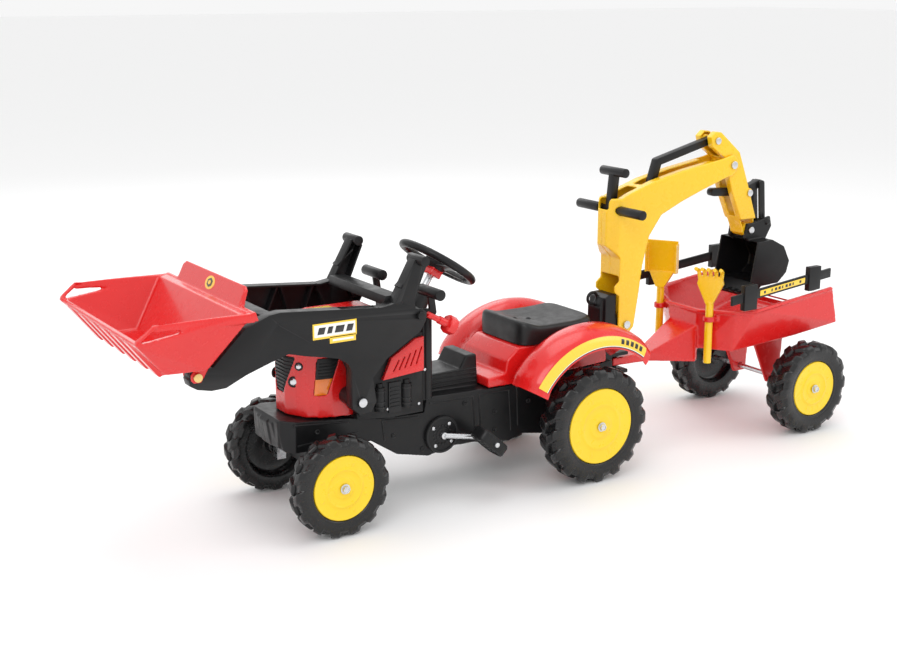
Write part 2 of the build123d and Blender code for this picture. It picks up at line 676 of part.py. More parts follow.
def stick():
    shape = plate(STICK, -STICK_Y, STICK_Y)
    shape -= plate(STICK, -STICK_Y + 4, STICK_Y - 4, 4)
    shape += rod_y(STICK_X, STICK_Z, 14, -STICK_Y, STICK_Y)
    shape += rod_y(LINK_X, LINK_Z, 12, -STICK_Y, STICK_Y)
    shape += rod_y(SCOOP_X, SCOOP_Z, 16, -STICK_Y, STICK_Y)
    shape += rod_y(SCOOP_LEVER_X, SCOOP_LEVER_Z, 11, -STICK_Y, STICK_Y)
    shape -= block(540, 612, -11, 11, 640, 720)
    shape -= block(590, 760, -11, 11, 500, 600)
    shape -= block(670, 730, -STICK_Y - 1, -STICK_Y + 7, 430, 492)
    shape -= block(670, 730, STICK_Y - 7, STICK_Y + 1, 430, 492)
    shape -= rod_y(STICK_X, STICK_Z, 6 + RUNNING, -60, 60)
    for x, z in ((LINK_X, LINK_Z), (SCOOP_X, SCOOP_Z), (SCOOP_LEVER_X, SCOOP_LEVER_Z)):
        shape -= rod_y(x, z, 5, -60, 60)
    return shape


def stick_bolts():
    bolts = rod_y(LINK_X, LINK_Z, 5, -STICK_Y - 1, STICK_Y + 1)
    bolts += pair(rod_y(LINK_X, LINK_Z, 8, -STICK_Y - 4, -STICK_Y))
    bolts += rod_y(SCOOP_LEVER_X, SCOOP_LEVER_Z, 5, -STICK_Y - 1, STICK_Y + 1)
    bolts += pair(rod_y(SCOOP_LEVER_X, SCOOP_LEVER_Z, 8, -STICK_Y - 4, -STICK_Y))
    bolts += rod_y(SCOOP_X, SCOOP_Z, 5, -31, 31)
    return bolts + pair(rod_y(SCOOP_X, SCOOP_Z, 8, -35, -31))


def scoop_lever():
    """The lever through the stick that curls the digging bucket."""
    corner = (SCOOP_LEVER_X + SCOOP_ARM.X, SCOOP_LEVER_Z + SCOOP_ARM.Z)
    lever = strap((601, 560), (SCOOP_LEVER_X, SCOOP_LEVER_Z), 9, -9, 9)
    lever += strap((SCOOP_LEVER_X, SCOOP_LEVER_Z), corner, 9, -9, 9)
    return lever - rod_y(SCOOP_LEVER_X, SCOOP_LEVER_Z, 5 + RUNNING, -20, 20) - rod_y(*corner, 4, -20, 20)


def scoop_link():
    top = (SCOOP_LEVER_X + SCOOP_ARM.X, SCOOP_LEVER_Z + SCOOP_ARM.Z)
    low = (SCOOP_X + SCOOP_ARM.X, SCOOP_Z + SCOOP_ARM.Z)
    link = pair(strap(top, low, 8, -15, -9.4))
    link += rod_y(*top, 4 - RUNNING, -15, 15)
    return link - rod_y(*low, 4 + RUNNING + 0.3, -20, 20)


def digger_bucket():
    back = [(694, 442), (742, 444), (780, 425), (800, 388), (792, 360)]
    floor = [(766, 338), (712, 335), (681, 310), (672, 318)]
    shell = plate(back + floor, -63, 63)
    inner_back = [(680, 442), (730, 439), (772, 418), (790, 387), (785, 362)]
    inner_floor = [(764, 344), (710, 341), (676, 314), (650, 330)]
    shell -= plate(inner_back + inner_floor, -59, 59)
    shell -= plate([(640, 460), (690, 449), (660, 300), (640, 300)], -70, 70)
    for number in range(6):
        y = -53 + 21.2 * number
        tooth = ((690, 316, 7), (686, 322, 7), (659, 321, 3), (660, 324, 3))
        shell += hull([(x, y + half, z) for x, z, w in tooth for half in (-w, w)])
    ear = [(684, 448), (690, 482), (710, 482), (762, 494), (768, 470), (748, 436), (700, 436)]
    shell += pair(plate(ear, 22, 30.4))
    pins = rod_y(SCOOP_X + SCOOP_ARM.X, SCOOP_Z + SCOOP_ARM.Z, 4, -31, 31)
    shell += pins + pair(rod_y(SCOOP_X + SCOOP_ARM.X, SCOOP_Z + SCOOP_ARM.Z, 7, -34, -30))
    clear = rod_y(SCOOP_X, SCOOP_Z, 19, -21.8, 21.8)
    return shell - clear - rod_y(SCOOP_X, SCOOP_Z, 5 + RUNNING, -60, 60)


# ---- trailer ----
TUB_TOP = [(526, 48, 300), (568, 132, 304), (606, 160, 311), (842, 164, 338)]
TUB_LOW = [(534, 44, 206), (580, 112, 206), (753, 138, 227), (868, 160, 249)]
TUB_INNER_TOP = [(531, 45, 320), (572, 127, 324), (609, 155, 330), (850, 159, 352)]
TUB_INNER_LOW = [(539, 41, 211), (584, 108, 211), (753, 133, 232), (862, 154, 255)]


def trailer_tub():
    hollow = hull(both_y(TUB_INNER_TOP + TUB_INNER_LOW))
    tub = hull(both_y(TUB_TOP + TUB_LOW)) - hollow
    rim_low = [(x - 4, y + 6, z - 6) for x, y, z in TUB_TOP]
    rim_high = [(x, y, z + 7) for x, y, z in rim_low]
    rim = hull(both_y(rim_low + rim_high))
    hole = [(x + (8 if x < 800 else -4), y - 9, z - 4) for x, y, z in rim_low]
    hole += [(x, y, z + 20) for x, y, z in hole]
    tub += rim - hull(both_y(hole)) - hollow
    leg = plate([(690, 226), (800, 243), (789, 94), (751, 94)], 52, 60)
    tub += pair(leg) - rod_y(TRAILER_X, TRAILER_Z, AXLE_R, -80, 80) - hollow
    neck = hull(both_y([(HITCH_X - 14, 14, 188), (HITCH_X - 14, 14, 206), (420, 20, 187), (420, 20, 208)]))
    neck_end = [(412, 20, 187), (412, 20, 207), (520, 56, 178), (536, 44, 178)]
    shoulder = [(537, 42, 262), (528, 47, 262)]
    neck += hull(both_y(neck_end + shoulder))
    tub += neck - hollow
    tub -= rod_z(HITCH_X, 0, AXLE_R + RUNNING, 150, 230)
    clip = rod_z(TOOL_X, TOOL_Y, 14, 278, 292)
    clip += block(TOOL_X + 2, TOOL_X + 30, TOOL_Y - 9, TOOL_Y + 9, 280, 290)
    tub += pair(clip) - hollow
    return tub - pair(rod_z(TOOL_X, TOOL_Y, 9.5, 150, 420))


def side_rail_left():
    rail = plate([(522, 331), (522, 352), (830, 384), (830, 363)], -166, -160)
    for x_low, x_high, z_low, z_high in ((556, 594, 316, 373), (757, 793, 338, 394)):
        rail += block(x_low, x_high, -170, -156, z_low, z_high)
    rim_top = [(x, y + 9, z + 8) for x, y, z in TUB_TOP]
    rim_foot = [(x, y + 9, z - 30) for x, y, z in TUB_TOP]
    return rail - hull(both_y(rim_top + rim_foot))


def trailer_axle():
    shaft = rod_y(TRAILER_X, TRAILER_Z, AXLE_R, -TRAILER_OUT - 5, TRAILER_OUT + 5)
    return shaft + pair(nut(TRAILER_X, TRAILER_Z, TRAILER_OUT))


def rake():
    """A hand rake standing in the trailer's left clip."""
    shape = rod_z(0, 0, 9, 181, 325)
    palm = [(-8, 8, 320), (8, 8, 320), (-6, 30, 366), (8, 30, 366), (-6, 26, 384), (6, 26, 384)]
    shape += hull(both_y(palm))
    for number in range(5):
        y = -26 + 13 * number
        shape += rod((0, y * 0.95, 376), (-6, y * 1.05, 398), 4.6)
        shape += rod((-6, y * 1.05, 397), (-26, y * 1.1, 404), 4.4)
    return Pos(TOOL_X, -TOOL_Y, 0) * (Rot(0, 0, 32) * shape)


def spade():
    """A hand spade standing in the trailer's right clip."""
    shape = rod_z(0, 0, 9, 189, 335)
    shape += hull(both_y([(-10, 10, 330), (10, 10, 330), (0, 30, 366), (14, 30, 366)]))
    shape += hull(both_y([(4, 38, 362), (14, 38, 362), (2, 38, 440), (7, 38, 440)]))
    for side in (-1, 1):
        shape += block(-10, 14, min(side * 34, side * 38), max(side * 34, side * 38), 364, 432)
    return Pos(TOOL_X, TOOL_Y, 0) * (Rot(0, 0, 32) * shape)


def small_wheel(name, x, radius, width, out, pieces):
    """A left-hand wheel and its right-hand twin, each as a tyre and a disc."""
    tyre_left = tyre(x, radius, radius, width, out, SMALL_DISC_R)
    disc_left = disc(x, radius, width, out, SMALL_DISC_R)
    for side, turn in (("left", lambda s: s), ("right", mirrored)):
        pieces[f"{name}_tyre_{side}"] = turn(tyre_left)
        pieces[f"{name}_disc_{side}"] = turn(disc_left)


def build():
    """Every node, by name."""
    pieces = {
        "chassis_body": chassis_body(),
        "hood": hood(),
        "grille_strips": grille_strips() + lamp_unit(290.1, 340),
        "lamp_lenses": lamp_unit(250, 289.9),
        "cowl_panels": pair(cowl_left()),
        "firewall": firewall(),
        "vent_panels": pair(vent_panel_left()),
        "steering_boot": steering_boot(),
        "crank_covers": crank_covers(),
        "drive_chain": drive_chain(),
        "fender_unit": fender_unit(),
        "seat": seat(),
        "front_axle_beam": front_axle_beam(),
        "hitch_post": hitch_post(),
        "body_bolts": loader_bolts() + badge_studs(),
        "steering_column": steering_column(),
        "steering_wheel": steering_wheel(),
        "horn_button": horn_button(),
        "tie_rod": tie_rod(),
        "crankshaft": crankshaft(),
        "rear_axle": rear_axle(),
        "pedal_left": pedal("left"),
        "pedal_right": pedal("right"),
        "loader_beams": loader_beams(),
        "loader_bucket": loader_bucket(),
        "bucket_pins": bucket_pins(),
        "bucket_levers": pair(bucket_lever_left()),
        "lock_knobs": pair(lock_knob_left()),
        "swivel_bracket": swivel_bracket() + lock_pin(),
        "boom_shell_left": boom_shell(-1),
        "boom_shell_right": boom_shell(1),
        "boom_bolts": boom_bolts(),
        "grip_bar": grip_bar(),
        "t_lever": t_lever(),
        "stick_link": stick_link(),
        "stick": stick(),
        "stick_bolts": stick_bolts(),
        "scoop_lever": scoop_lever(),
        "scoop_link": scoop_link(),
        "digger_bucket": digger_bucket(),
        "trailer_tub": trailer_tub(),
        "side_rails": pair(side_rail_left()),
        "trailer_axle": trailer_axle(),
        "rake": rake(),
        "spade": spade(),
    }
    handed = {
        "stub_axle": stub_axle_left(),
        "loader_arm": loader_arm_left(),
    }
    for name, shape in handed.items():
        pieces[f"{name}_left"] = shape
        pieces[f"{name}_right"] = mirrored(shape)
    small_wheel("front", FRONT_X, FRONT_R, FRONT_WIDTH, FRONT_OUT, pieces)
    small_wheel("trailer", TRAILER_X, TRAILER_R, TRAILER_WIDTH, TRAILER_OUT, pieces)
    rear_disc = disc(REAR_X, REAR_Z, REAR_WIDTH, REAR_OUT, LARGE_DISC_R)
    rear_tyre = tyre(REAR_X, REAR_Z, REAR_R, REAR_WIDTH, REAR_OUT, LARGE_DISC_R)
    pieces["rear_tyres"] = pair(rear_tyre)
    pieces["rear_discs"] = pair(rear_disc)
    return pieces


for name, shape in build().items():
    export_step(shape, f"parts/{name}.step")
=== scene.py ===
import bpy
import bmesh
import json
import math
from mathutils import Matrix, Vector


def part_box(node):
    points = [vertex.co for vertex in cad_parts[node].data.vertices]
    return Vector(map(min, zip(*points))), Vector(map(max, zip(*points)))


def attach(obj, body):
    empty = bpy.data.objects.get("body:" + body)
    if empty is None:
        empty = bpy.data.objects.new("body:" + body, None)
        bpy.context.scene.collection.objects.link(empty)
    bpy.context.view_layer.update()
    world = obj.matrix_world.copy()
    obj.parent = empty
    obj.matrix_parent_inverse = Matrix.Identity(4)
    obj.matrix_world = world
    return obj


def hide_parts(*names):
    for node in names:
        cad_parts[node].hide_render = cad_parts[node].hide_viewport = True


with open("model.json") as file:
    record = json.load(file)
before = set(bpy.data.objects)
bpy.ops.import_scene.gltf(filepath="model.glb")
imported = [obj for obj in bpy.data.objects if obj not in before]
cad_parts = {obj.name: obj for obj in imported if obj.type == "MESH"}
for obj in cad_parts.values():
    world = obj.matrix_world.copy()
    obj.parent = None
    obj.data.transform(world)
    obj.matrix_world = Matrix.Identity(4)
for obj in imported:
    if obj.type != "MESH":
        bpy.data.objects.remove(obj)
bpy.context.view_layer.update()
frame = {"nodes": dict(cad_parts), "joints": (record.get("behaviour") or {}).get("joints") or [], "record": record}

MM = 0.001
JOINTS = {j["name"]: j for j in frame["joints"]}
NODE_BODY = {n: b for b, nodes in frame["record"]["behaviour"]["bodies"].items() for n in nodes}
NODE_SLOT = {s["node"]: s["material_slot"] for s in frame["record"]["subparts"]}


def pivot(joint):
    """A joint's point in the row frame, in metres."""
    return Vector(JOINTS[joint]["pos_m"])


# ---------------------------------------------------------------- materials
def node(tree, kind, **inputs):
    made = tree.nodes.new(kind)
    for name, value in inputs.items():
        made.inputs[name.replace("_", " ")].default_value = value
    return made


def ramp(tree, source, low, high, start=0.35, end=0.65):
    """A value from low to high as source goes from start to end."""
    made = tree.nodes.new("ShaderNodeMapRange")
    made.inputs["From Min"].default_value = start
    made.inputs["From Max"].default_value = end
    made.inputs["To Min"].default_value = low
    made.inputs["To Max"].default_value = high
    tree.links.new(source, made.inputs["Value"])
    return made.outputs["Result"]


def plastic(name, colour, rough=0.3, grain=0.05, grain_size=900.0, edge_highlight=0.0, coat=0.0, vary=0.06, sss=0.0,
            shine=0.5):
    """Moulded plastic: slow colour drift, fine moulding grain, hazier patches and a painted highlight that makes
    convex edges paler.
    """
    material = bpy.data.materials.new(name)
    material.use_nodes = True
    tree = material.node_tree
    shader = tree.nodes["Principled BSDF"]
    shader.inputs["Specular IOR Level"].default_value = shine
    shader.inputs["Coat Weight"].default_value = coat
    shader.inputs["Coat Roughness"].default_value = 0.08
    shader.inputs["Subsurface Weight"].default_value = sss
    shader.inputs["Subsurface Radius"].default_value = (0.004, 0.002, 0.001)
    place = tree.nodes.new("ShaderNodeTexCoord").outputs["Object"]
    drift = node(tree, "ShaderNodeTexNoise", Scale=9.0, Detail=3.0)
    haze = node(tree, "ShaderNodeTexNoise", Scale=46.0, Detail=5.0, Roughness=0.6)
    fine = node(tree, "ShaderNodeTexNoise", Scale=grain_size, Detail=2.0)
    for texture in (drift, haze, fine):
        tree.links.new(place, texture.inputs["Vector"])
    tint = tree.nodes.new("ShaderNodeMix")
    tint.data_type = "RGBA"
    tint.inputs["A"].default_value = (*[c * (1 - vary) for c in colour], 1)
    tint.inputs["B"].default_value = (*[min(1, c * (1 + vary)) for c in colour], 1)
    tree.links.new(drift.outputs["Fac"], tint.inputs["Factor"])
    last = tint.outputs["Result"]
    # painted highlight: convex edges, found by pointiness, are mixed towards a paler colour
    if edge_highlight:
        edges = tree.nodes.new("ShaderNodeNewGeometry").outputs["Pointiness"]
        edge_highlight_mix = tree.nodes.new("ShaderNodeMix")
        edge_highlight_mix.data_type = "RGBA"
        pale = [min(1, c * 1.15 + 0.03) for c in colour]
        edge_highlight_mix.inputs["B"].default_value = (*pale, 1)
        tree.links.new(ramp(tree, edges, 0.0, edge_highlight, 0.52, 0.62), edge_highlight_mix.inputs["Factor"])
        tree.links.new(last, edge_highlight_mix.inputs["A"])
        last = edge_highlight_mix.outputs["Result"]
    tree.links.new(last, shader.inputs["Base Color"])
    tree.links.new(ramp(tree, haze.outputs["Fac"], rough * 0.85, rough * 1.25), shader.inputs["Roughness"])
    bump = node(tree, "ShaderNodeBump", Strength=grain, Distance=0.0006)
    tree.links.new(fine.outputs["Fac"], bump.inputs["Height"])
    tree.links.new(bump.outputs["Normal"], shader.inputs["Normal"])
    return material


def metal(name, colour, rough):
    """Plated steel with fine scratches and a slightly uneven shine."""
    material = bpy.data.materials.new(name)
    material.use_nodes = True
    tree = material.node_tree
    shader = tree.nodes["Principled BSDF"]
    shader.inputs["Metallic"].default_value = 1.0
    place = tree.nodes.new("ShaderNodeTexCoord").outputs["Object"]
    mottle = node(tree, "ShaderNodeTexNoise", Scale=120.0, Detail=4.0)
    tree.links.new(place, mottle.inputs["Vector"])
    tint = tree.nodes.new("ShaderNodeMix")
    tint.data_type = "RGBA"
    tint.inputs["A"].default_value = (*[c * 0.8 for c in colour], 1)
    tint.inputs["B"].default_value = (*colour, 1)
    tree.links.new(mottle.outputs["Fac"], tint.inputs["Factor"])
    tree.links.new(tint.outputs["Result"], shader.inputs["Base Color"])
    tree.links.new(ramp(tree, mottle.outputs["Fac"], rough * 0.7, rough * 1.4), shader.inputs["Roughness"])
    bump = node(tree, "ShaderNodeBump", Strength=0.08, Distance=0.0003)
    tree.links.new(mottle.outputs["Fac"], bump.inputs["Height"])
    tree.links.new(bump.outputs["Normal"], shader.inputs["Normal"])
    return material


# On the plastics below, the paler convex edges are a painted highlight, its strength set per material.
MATERIALS = {
    "red_shell": plastic("red moulded", (0.70, 0.010, 0.010), 0.24, 0.03, coat=0.35, edge_highlight=0.25, sss=0.05),
    "black_shell": plastic("black moulded", (0.0075, 0.0075, 0.0082), 0.36, 0.08, 1400.0, edge_highlight=0.45,
                           vary=0.14,
                           shine=0.3),
    "yellow_shell": plastic("yellow moulded", (0.93, 0.56, 0.008), 0.26, 0.03, coat=0.3, edge_highlight=0.2, sss=0.08),
    "yellow_disc": plastic("yellow disc", (0.92, 0.62, 0.010), 0.3, 0.06, 500.0, coat=0.2, edge_highlight=0.2),
    "tyre_black": plastic("tyre black", (0.0065, 0.0065, 0.007), 0.26, 0.10, 700.0, edge_highlight=0.45, vary=0.15,
                          coat=0.12,
                          shine=0.4),
    "zinc_steel": metal("zinc plated", (0.72, 0.73, 0.75), 0.26),
    "brass_pin": metal("yellow zinc plated", (0.85, 0.62, 0.25), 0.28),
    "amber_lens": plastic("amber lens", (0.85, 0.20, 0.01), 0.1, 0.25, 260.0, coat=0.8, sss=0.2),
    "seat_black": plastic("seat black", (0.009, 0.009, 0.0095), 0.36, 0.3, 1100.0, edge_highlight=0.4, vary=0.12,
                          shine=0.35),
    "label_yellow": plastic("label yellow", (0.95, 0.62, 0.05), 0.25, 0.02, coat=0.4),
    "label_white": plastic("label white", (0.85, 0.85, 0.82), 0.25, 0.02, coat=0.4),
    "label_black": plastic("label black", (0.012, 0.012, 0.012), 0.25, 0.02, coat=0.4),
}


# ---------------------------------------------------------------- mesh helpers
ORIGIN = Vector((0, 0, 0))


def facing(normal):
    """Turns a piece made about the Y axis to face along a normal."""
    return Vector((0, 1, 0)).rotation_difference(Vector(normal).normalized()).to_matrix().to_4x4()


def ordered(side, low, high):
    """Two lateral distances on one side, the smaller y first."""
    return min(side * low, side * high), max(side * low, side * high)


def made(name, verts, faces):
    """A new mesh object from points in metres."""
    mesh = bpy.data.meshes.new(name)
    mesh.from_pydata([tuple(v) for v in verts], [], faces)
    mesh.update()
    piece = bpy.data.objects.new(name, mesh)
    bpy.context.scene.collection.objects.link(piece)
    work = bmesh.new()
    work.from_mesh(mesh)
    bmesh.ops.recalc_face_normals(work, faces=work.faces)
    work.to_mesh(mesh)
    work.free()
    return piece


def applied(piece):
    """The piece with its modifiers made part of its mesh."""
    bpy.context.view_layer.update()
    result = bpy.data.meshes.new_from_object(piece.evaluated_get(bpy.context.evaluated_depsgraph_get()))
    piece.modifiers.clear()
    piece.data = result
    return piece


def smooth(piece, angle=35):
    """Smooth shading with the edges sharper than angle kept crisp."""
    for face in piece.data.polygons:
        face.use_smooth = True
    piece.data.set_sharp_from_angle(angle=math.radians(angle))
    return piece


def bevelled(piece, width, segments=3, angle=32):
    edge = piece.modifiers.new("edges", "BEVEL")
    edge.width = width * MM
    edge.segments = segments
    edge.limit_method = "ANGLE"
    edge.angle_limit = math.radians(angle)
    edge.miter_outer = "MITER_ARC"
    edge.use_clamp_overlap = True
    return smooth(applied(piece), angle)


def dress(piece, body, slot, material=None, replaces=()):
    """Gives a piece its material, the body that it rides on and the CAD nodes that it stands for."""
    piece.data.materials.clear()
    piece.data.materials.append(MATERIALS[material or slot])
    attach(piece, body)
    if replaces:
        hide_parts(*replaces)
    return piece


def prism(name, outline, y_low, y_high, bevel=1.5, segments=3):
    """A side outline of (x, z) points in mm, solid between two y values, with rounded edges."""
    count = len(outline)
    verts = [Vector((x, y, z)) * MM for y in (y_low, y_high) for x, z in outline]
    faces = [list(range(count)), list(range(count, 2 * count))[::-1]]
    faces += [(i, (i + 1) % count, count + (i + 1) % count, count + i) for i in range(count)]
    return bevelled(made(name, verts, faces), bevel, segments)


def lathe(name, section, centre, side, steps=96, closed=False):
    """A (lateral, radius) section in mm turned about a cross axle. side is -1 on the left."""
    verts = []
    for step in range(steps):
        angle = 2 * math.pi * step / steps
        for lateral, radius in section:
            x = centre.x + radius * MM * math.cos(angle)
            verts.append(Vector((x, side * lateral * MM, centre.z + radius * MM * math.sin(angle))))
    count = len(section)
    faces = []
    for step in range(steps):
        ahead = (step + 1) % steps
        for i in range(count if closed else count - 1):
            j = (i + 1) % count
            faces.append((step * count + i, ahead * count + i, ahead * count + j, step * count + j))
    return made(name, verts, faces)


def tube(name, points, radius, closed=False, sides=12, samples=8):
    """A round bar in mm along a smooth path."""
    curve = bpy.data.curves.new(name, "CURVE")
    curve.dimensions = "3D"
    curve.bevel_depth = radius * MM
    curve.bevel_resolution = sides // 4
    curve.use_fill_caps = not closed
    spline = curve.splines.new("NURBS")
    spline.points.add(len(points) - 1)
    for knot, point in zip(spline.points, points):
        knot.co = (*(Vector(point) * MM), 1)
    spline.order_u = 3
    spline.use_endpoint_u = not closed
    spline.use_cyclic_u = closed
    spline.resolution_u = samples
    holder = bpy.data.objects.new(name, curve)
    bpy.context.scene.collection.objects.link(holder)
    bpy.context.view_layer.update()
    mesh = bpy.data.meshes.new_from_object(holder.evaluated_get(bpy.context.evaluated_depsgraph_get()))
    bpy.data.objects.remove(holder)
    piece = bpy.data.objects.new(name, mesh)
    bpy.context.scene.collection.objects.link(piece)
    return smooth(piece, 40)


def joined(name, pieces):
    """Several pieces as one object."""
    work = bmesh.new()
    for piece in pieces:
        piece.data.transform(piece.matrix_world)
        work.from_mesh(piece.data)
    mesh = bpy.data.meshes.new(name)
    work.to_mesh(mesh)
    work.free()
    for piece in pieces:
        bpy.data.objects.remove(piece)
    result = bpy.data.objects.new(name, mesh)
    bpy.context.scene.collection.objects.link(result)
    return smooth(result, 35)


def refined(node_name, bevel=1.0, segments=2, angle=32, material=None):
    """A CAD node's shape with its flat faces merged and its edges rounded, standing for that node."""
    mesh = frame["nodes"][node_name].data.copy()
    work = bmesh.new()
    work.from_mesh(mesh)
    bmesh.ops.remove_doubles(work, verts=work.verts, dist=2e-6)
    bmesh.ops.dissolve_limit(work, angle_limit=math.radians(1.0), verts=work.verts, edges=work.edges)
    work.to_mesh(mesh)
    work.free()
    piece = bpy.data.objects.new(f"{node_name}_finished", mesh)
    bpy.context.scene.collection.objects.link(piece)
    if bevel:
        piece = bevelled(piece, bevel, segments, angle)
    else:
        smooth(piece, angle)
    slot = NODE_SLOT[node_name]
    return dress(piece, NODE_BODY[node_name], slot, material, [node_name])


def moulded(node_name, voxel=1.6, passes=6, keep=0.5):
    """A CAD node's shape with every edge softened as a moulding's is, standing for that node."""
    piece = bpy.data.objects.new(f"{node_name}_moulded", frame["nodes"][node_name].data.copy())
    bpy.context.scene.collection.objects.link(piece)
    even = piece.modifiers.new("even", "REMESH")
    even.mode = "VOXEL"
    even.voxel_size = voxel * MM
    soft = piece.modifiers.new("soft", "SMOOTH")
    soft.factor = 0.5
    soft.iterations = passes
    light = piece.modifiers.new("light", "DECIMATE")
    light.ratio = keep
    smooth(applied(piece), 60)
    return dress(piece, NODE_BODY[node_name], NODE_SLOT[node_name], None, [node_name])


# ---------------------------------------------------------------- wheels
def soft_step(value, low, high):
    t = min(1.0, max(0.0, (value - low) / (high - low)))
    return t * t * (3 - 2 * t)


def tyre_section(radius, width, disc_radius):
    """The tyre's outline as (lateral from the outer face, radius, how much of the lug pattern it carries)."""
    crown = [(s, radius - 0.0012 * (s - width / 2) ** 2, 1.0)
             for s in [9 + (width - 18) * i / 16 for i in range(17)]]
    shoulder = [(0.6, radius * 0.81, 0), (0.2, radius * 0.845, 0.25), (0.4, radius * 0.88, 0.7),
                (1.6, radius * 0.92, 1),
                (3.4, radius * 0.955, 1), (6, radius * 0.985, 1)]
    outer = [(8, disc_radius + 0.6, 0), (4.5, disc_radius + 1.2, 0), (2.4, disc_radius + 3.5, 0),
             (1.8, disc_radius + 6, 0), (2.2, disc_radius + 7.5, 0), (1.2, disc_radius + 9.5, 0)]
    inner = [(width - s, r, p) for s, r, p in shoulder[::-1]] + [
        (width - 1.5, disc_radius + 7, 0), (width - 3, disc_radius + 3, 0), (width * 0.8, disc_radius, 0),
        (width * 0.64, disc_radius - 3, 0), (width * 0.6, disc_radius - 8, 0), (width * 0.6, 24, 0),
        (width * 0.64, 19, 0), (width - 3, 17, 0), (width - 0.5, 15, 0), (width, 13, 0), (width, 7, 0)]
    return outer + shoulder + crown + inner


def tyre(name, centre, radius, width, out, disc_radius, lugs, side):
    """A moulded tyre with staggered chevron lugs that wrap over its shoulders."""
    section = tyre_section(radius, width, disc_radius)
    steps = lugs * 24
    depth = radius * 0.062
    verts = []
    for step in range(steps):
        angle = 2 * math.pi * step / steps
        for lateral, r, weight in section:
            across = (lateral - width / 2) / (width / 2)
            stagger = 0.5 if across > 0 else 0.0
            turn = (angle * lugs / (2 * math.pi) + stagger + 0.42 * abs(across)) % 1.0
            raised = soft_step(turn, 0.06, 0.16) * (1 - soft_step(turn, 0.56, 0.66))
            centre_gap = soft_step(abs(across), 0.02, 0.1)
            drop = depth * weight * (1 - raised * centre_gap)
            dent = 0.35 * drop if abs(across) > 0.8 else 0
            reach = (r - drop * (1 - 0.55 * max(0.0, abs(across) - 0.75) / 0.25)) * MM
            sideways = side * (out - lateral - (dent if across < 0 else -dent)) * MM
            x = centre.x + reach * math.cos(angle)
            verts.append(Vector((x, sideways, centre.z + reach * math.sin(angle))))
    count = len(section)
    faces = []
    for step in range(steps):
        ahead = (step + 1) % steps
        for i in range(count - 1):
            faces.append((step * count + i, ahead * count + i, ahead * count + i + 1, step * count + i + 1))
    return smooth(made(name, verts, faces), 50)


def wheel_disc(name, centre, out, disc_radius, side):
    """The yellow disc: a rolled edge, a shallow dish with an embossed ring, and a raised boss."""
    k = disc_radius / 64
    section = [(9, disc_radius + 0.4), (5, disc_radius + 0.5), (3.4, disc_radius - 0.4),
               (2.8, disc_radius - 2.2),
               (3.4, disc_radius - 4), (3.8, disc_radius - 8), (4.6, 44 * k), (4.4, 41 * k), (3.2, 39.5 * k),
               (3.0, 36.5 * k), (4.0, 35 * k), (5.0, 32 * k), (5.4, 26 * k), (5.2, 22 * k), (3.8, 20.5 * k),
               (3.4, 18 * k), (3.4, 7)]
    dish = lathe(name, [(out - s, r) for s, r in section], centre, side, 96)
    return smooth(dish, 50)


def dimples(centre, out, disc_radius, side, count=8):
    """Small oval pads moulded round the disc."""
    pads = []
    for number in range(count):
        angle = 2 * math.pi * (number + 0.5) / count
        section = [(-1.1, 0.05), (-0.9, 0.6), (0, 1.0), (0.9, 0.6), (1.1, 0.05)]
        pad = lathe("pad", section, ORIGIN, 1, 20)
        size = Matrix.Diagonal((disc_radius * 0.055, 1.0, disc_radius * 0.085, 1.0))
        reach = disc_radius * 0.79 * MM
        x, z = centre.x + reach * math.cos(angle), centre.z + reach * math.sin(angle)
        place = Vector((x, side * (out - 4.2) * MM, z))
        pad.data.transform(Matrix.Translation(place) @ Matrix.Rotation(-angle + math.pi / 2, 4, "Y") @ size)
        pads.append(pad)
    return pads


def wheel(label, joint, node_tyre, node_disc, lugs, width, disc_radius, side, replace=True):
    centre = pivot(joint)
    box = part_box(node_tyre)
    radius = (box[1][2] - box[0][2]) / 2 / MM
    out = max(abs(box[0][1]), abs(box[1][1])) / MM
    body = NODE_BODY[node_tyre]
    made_tyre = tyre(f"{label}_tyre", centre, radius, width, out, disc_radius, lugs, side)
    dress(made_tyre, body, "tyre_black", None, [node_tyre] if replace else [])
    made_disc = joined(f"{label}_disc", [wheel_disc("dish", centre, out, disc_radius, side)]
                       + dimples(centre, out, disc_radius, side))
    dress(made_disc, body, "yellow_disc", None, [node_disc] if replace else [])


def wheels():
    small, large = 64, 81
    for side, word in ((-1, "left"), (1, "right")):
        for end, width in (("front", 50), ("trailer", 58)):
            wheel(f"{end}_{word}", f"{end}_spin_{word}", f"{end}_tyre_{word}", f"{end}_disc_{word}", 14,
                  width,
                  small, side)
        wheel(f"rear_{word}", "rear_spin", "rear_tyres", "rear_discs", 16, 62, large, side)


wheels()


